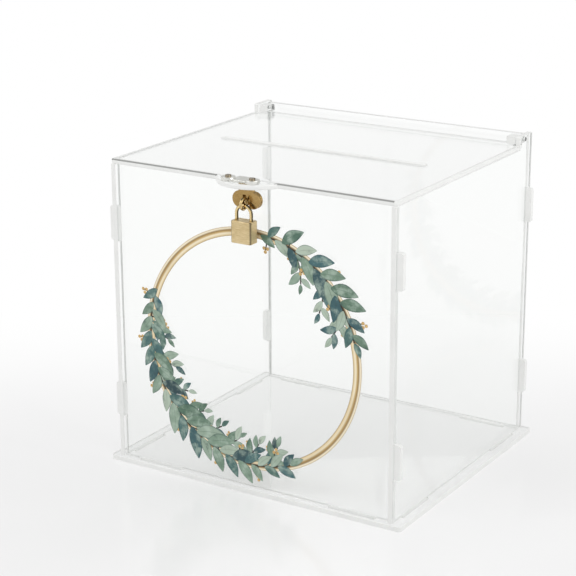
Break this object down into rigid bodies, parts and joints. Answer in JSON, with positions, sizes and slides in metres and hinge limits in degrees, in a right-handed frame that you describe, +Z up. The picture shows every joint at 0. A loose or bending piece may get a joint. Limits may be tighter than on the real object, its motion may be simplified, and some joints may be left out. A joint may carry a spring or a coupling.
{
  "type": "wedding card box",
  "caption": "Clear acrylic card box of slotted panels with a hinged lid, a card slot, a brass catch and a small hanging padlock; printed hoop and leaf sprays on the front.",
  "frame": {"origin": "centre of the base plate's underside, where the box stands", "axes": "+Z up, front with the printed hoop and the padlock towards -Y, +X to the right seen from the front"},
  "size_m": [0.266, 0.2435, 0.257],
  "materials": {
    "clear_acrylic": "clear polished",
    "brass": "polished",
    "steel": "satin",
    "plated_steel": "polished gold plate",
    "gold_print": "printed film",
    "leaf_print": "printed film"
  },
  "bodies": {
    "box": {"base_plate": "clear_acrylic", "front_panel": "clear_acrylic", "back_panel": "clear_acrylic", "left_panel": "clear_acrylic", "right_panel": "clear_acrylic", "hoop_decal": "gold_print", "leaf_spray_large": "leaf_print", "leaf_spray_small": "leaf_print", "eye_plate": "brass", "padlock_eye": "brass", "eye_washer": "steel", "eye_nut": "steel"},
    "lid": {"lid": "clear_acrylic", "hinge_lug_left": "clear_acrylic", "hinge_lug_right": "clear_acrylic", "hinge_pin_left": "steel", "hinge_pin_right": "steel", "catch_bracket": "brass", "catch_screws": "steel"},
    "shackle": {"padlock_shackle": "plated_steel"},
    "case": {"padlock_case": "brass", "shackle_keeper_pin": "steel", "plug_keeper_pin": "steel"},
    "plug": {"lock_plug": "brass"}
  },
  "joints": [
    {"name": "lid_hinge", "type": "hinge", "parent": "box", "child": "lid", "pos_m": [0, 0.1, 0.2532], "axis": [-1, 0, 0], "range_deg": [0, 115]},
    {"name": "padlock_swing", "type": "hinge", "parent": "box", "child": "shackle", "pos_m": [0, -0.1162, 0.23115], "axis": [-1, 0, 0], "range_deg": [-2, 75]},
    {"name": "shackle_release", "type": "slide", "parent": "shackle", "child": "case", "axis": [0, 0, -1], "range_m": [0, 0.006]},
    {"name": "plug_turn", "type": "hinge", "parent": "case", "child": "plug", "pos_m": [0, -0.1162, 0.20685], "axis": [0, 0, 1], "range_deg": [0, 90]}
  ]
}
